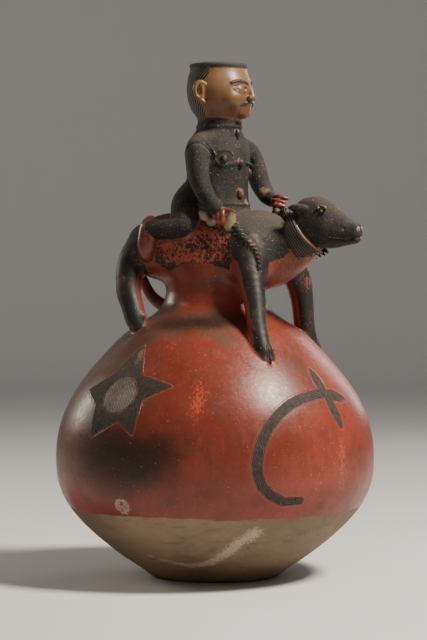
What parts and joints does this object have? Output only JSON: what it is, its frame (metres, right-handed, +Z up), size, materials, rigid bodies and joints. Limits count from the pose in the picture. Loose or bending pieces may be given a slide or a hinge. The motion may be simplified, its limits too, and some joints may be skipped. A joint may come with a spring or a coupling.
{
  "type": "figural water jar",
  "caption": "Hollow round clay water jar with an ox and rider modelled on its neck; the rider's head is the mouth.",
  "frame": {"origin": "centre of the underside, on the surface the jar stands on", "axes": "+Z up along the jar's axis; +X the way the ox faces; +Y the ox's left"},
  "size_m": [0.286, 0.286, 0.459],
  "materials": {
    "slipped_clay": "burnished red slip with black fire clouds, buff clay at the base"
  },
  "bodies": {
    "root": {"water_jar": "slipped_clay"}
  },
  "joints": []
}
